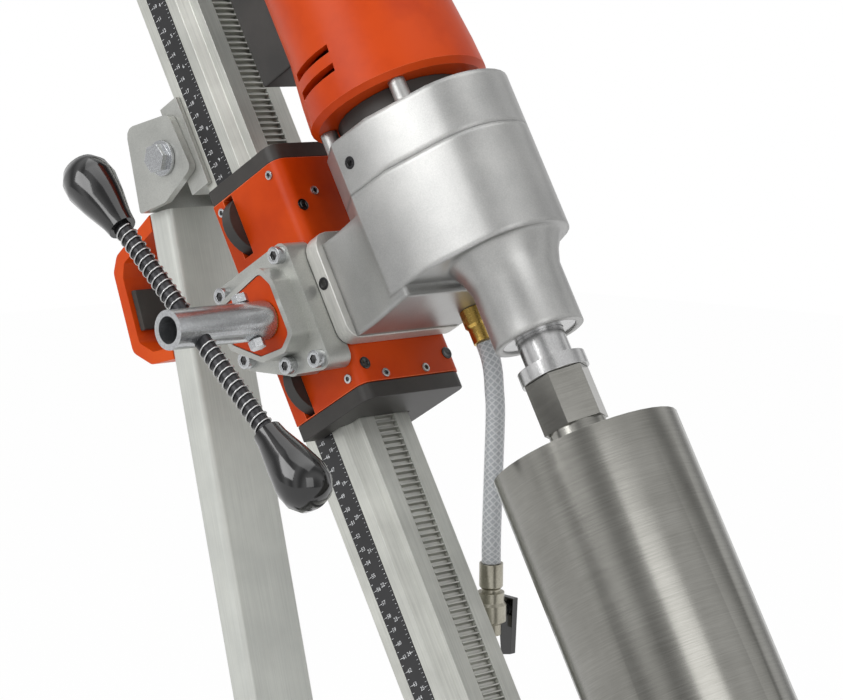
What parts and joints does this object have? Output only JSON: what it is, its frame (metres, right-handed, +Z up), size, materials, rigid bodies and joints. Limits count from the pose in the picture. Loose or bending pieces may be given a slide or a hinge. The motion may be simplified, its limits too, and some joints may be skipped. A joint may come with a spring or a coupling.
{
  "type": "core drill rig",
  "caption": "Core drill rig: a leaning rack column on a wheeled base plate, with a rear brace, crank-fed carriage, electric drill motor, gearbox, water hose and hollow core bit.",
  "frame": {"origin": "centre of the rig on the floor, at the middle of its length and width", "axes": "+X towards the core bit, +Y away from the crank, +Z up; the column leans back towards -X"},
  "size_m": [0.7446, 0.344, 0.9264],
  "materials": {
    "cast_aluminium": "satin cast",
    "extruded_aluminium": "clear anodised",
    "steel": "machined",
    "orange_paint": "powder coat",
    "dark_plastic": "fine texture",
    "black_gloss": "polished",
    "scale_black": "printed numbers and lines",
    "rubber": "matt",
    "brass": "turned",
    "clear_hose": "clear with braid"
  },
  "bodies": {
    "stand": {"base_plate": "cast_aluminium", "column_clevis": "cast_aluminium", "brace_clevis": "cast_aluminium", "column_pivot_bolt": "steel", "brace_pivot_bolt": "steel", "axle": "steel"},
    "column": {"column_extrusion": "extruded_aluminium", "rack": "steel", "scale_strip": "scale_black", "column_foot": "cast_aluminium", "column_top_cap": "dark_plastic"},
    "clamp": {"clamp_block": "cast_aluminium"},
    "brace": {"brace_tube": "extruded_aluminium", "brace_foot": "cast_aluminium", "brace_bracket": "cast_aluminium", "clamp_bolt_near": "steel", "clamp_bolt_far": "steel", "handle_strap": "orange_paint", "handle_grip": "rubber"},
    "carriage": {"cable_gland": "rubber", "carriage_shell": "orange_paint", "electronics_box": "dark_plastic", "end_cap_lower": "dark_plastic", "end_cap_upper": "dark_plastic", "feed_bush": "brass", "feed_housing": "cast_aluminium", "feed_panel": "orange_paint", "gearbox_cover": "cast_aluminium", "gearbox_housing": "cast_aluminium", "guide_lower": "dark_plastic", "guide_upper": "dark_plastic", "hose": "clear_hose", "hose_port": "brass", "motor_flange": "dark_plastic", "motor_housing": "orange_paint", "motor_top_cap": "dark_plastic", "mount_plate": "cast_aluminium", "spindle_bearing_lower": "steel", "spindle_bearing_upper": "steel", "valve_body": "brass"},
    "crank": {"feed_pinion": "steel", "crank_tube": "steel", "crank_cross_bolt": "steel", "crank_rod": "steel", "crank_spring_upper": "steel", "crank_spring_lower": "steel", "crank_knob_upper": "black_gloss", "crank_knob_lower": "black_gloss"},
    "spindle": {"spindle": "steel", "core_bit": "steel"},
    "counter_shaft": {"counter_gear": "steel"},
    "armature": {"armature": "steel"},
    "switch": {"power_switch": "black_gloss"},
    "hose_valve": {"valve_lever": "black_gloss"},
    "wheel_near": {"wheel_near": "rubber"},
    "wheel_far": {"wheel_far": "rubber"},
    "level_screw_1": {"level_screw_1": "steel"},
    "level_screw_2": {"level_screw_2": "steel"},
    "level_screw_3": {"level_screw_3": "steel"},
    "level_screw_4": {"level_screw_4": "steel"}
  },
  "joints": [
    {"name": "column_tilt", "type": "hinge", "parent": "stand", "child": "column", "pos_m": [0.13468, 0, 0.07], "axis": [0, 1, 0], "range_deg": [-15, 30]},
    {"name": "clamp_slide", "type": "slide", "parent": "column", "child": "clamp", "axis": [-0.5, 0, 0.866], "range_m": [-0.14, 0.075]},
    {"name": "brace_swing", "type": "hinge", "parent": "stand", "child": "brace", "pos_m": [-0.10932, 0, 0.07], "axis": [0, 1, 0], "range_deg": [-20, 38]},
    {"name": "feed", "type": "slide", "parent": "column", "child": "carriage", "axis": [-0.5, 0, 0.866], "range_m": [-0.25, 0.28]},
    {"name": "crank_turn", "type": "hinge", "parent": "carriage", "child": "crank", "pos_m": [-0.09728, -0.049, 0.54576], "axis": [0, 1, 0], "continuous": true},
    {"name": "spindle_turn", "type": "hinge", "parent": "carriage", "child": "spindle", "pos_m": [0.07639, 0, 0.54095], "axis": [-0.5, 0, 0.866], "continuous": true},
    {"name": "counter_turn", "type": "hinge", "parent": "carriage", "child": "counter_shaft", "pos_m": [-0.01329, 0.02504, 0.64737], "axis": [-0.5, 0, 0.866], "continuous": true},
    {"name": "armature_turn", "type": "hinge", "parent": "carriage", "child": "armature", "pos_m": [-0.05215, 0, 0.6896], "axis": [-0.5, 0, 0.866], "continuous": true},
    {"name": "switch_rock", "type": "hinge", "parent": "carriage", "child": "switch", "pos_m": [-0.19104, 0.033, 0.79416], "axis": [0.866, 0, 0.5], "range_deg": [-10, 0]},
    {"name": "valve_turn", "type": "hinge", "parent": "carriage", "child": "hose_valve", "pos_m": [-0.01143, 0.05918, 0.33661], "axis": [0, 1, 0], "range_deg": [0, 90]},
    {"name": "wheel_near_turn", "type": "hinge", "parent": "stand", "child": "wheel_near", "pos_m": [-0.18032, -0.138, 0.0515], "axis": [0, 1, 0], "continuous": true},
    {"name": "wheel_far_turn", "type": "hinge", "parent": "stand", "child": "wheel_far", "pos_m": [-0.18032, 0.138, 0.0515], "axis": [0, 1, 0], "continuous": true},
    {"name": "level_screw_1_turn", "type": "hinge", "parent": "stand", "child": "level_screw_1", "pos_m": [0.19568, -0.108, 0.02], "axis": [0, 0, 1], "continuous": true},
    {"name": "level_screw_2_turn", "type": "hinge", "parent": "stand", "child": "level_screw_2", "pos_m": [0.19568, 0.108, 0.02], "axis": [0, 0, 1], "continuous": true},
    {"name": "level_screw_3_turn", "type": "hinge", "parent": "stand", "child": "level_screw_3", "pos_m": [-0.22632, -0.108, 0.02], "axis": [0, 0, 1], "continuous": true},
    {"name": "level_screw_4_turn", "type": "hinge", "parent": "stand", "child": "level_screw_4", "pos_m": [-0.22632, 0.108, 0.02], "axis": [0, 0, 1], "continuous": true}
  ],
  "couplings": [
    {"joint": "brace_swing", "follows": "column_tilt", "ratio": 1.16},
    {"joint": "clamp_slide", "follows": "column_tilt", "m_per_rad": -0.2464},
    {"joint": "crank_turn", "follows": "feed", "rad_per_m": -83.333},
    {"joint": "counter_turn", "follows": "spindle_turn", "ratio": -2.3333},
    {"joint": "armature_turn", "follows": "spindle_turn", "ratio": 7}
  ]
}
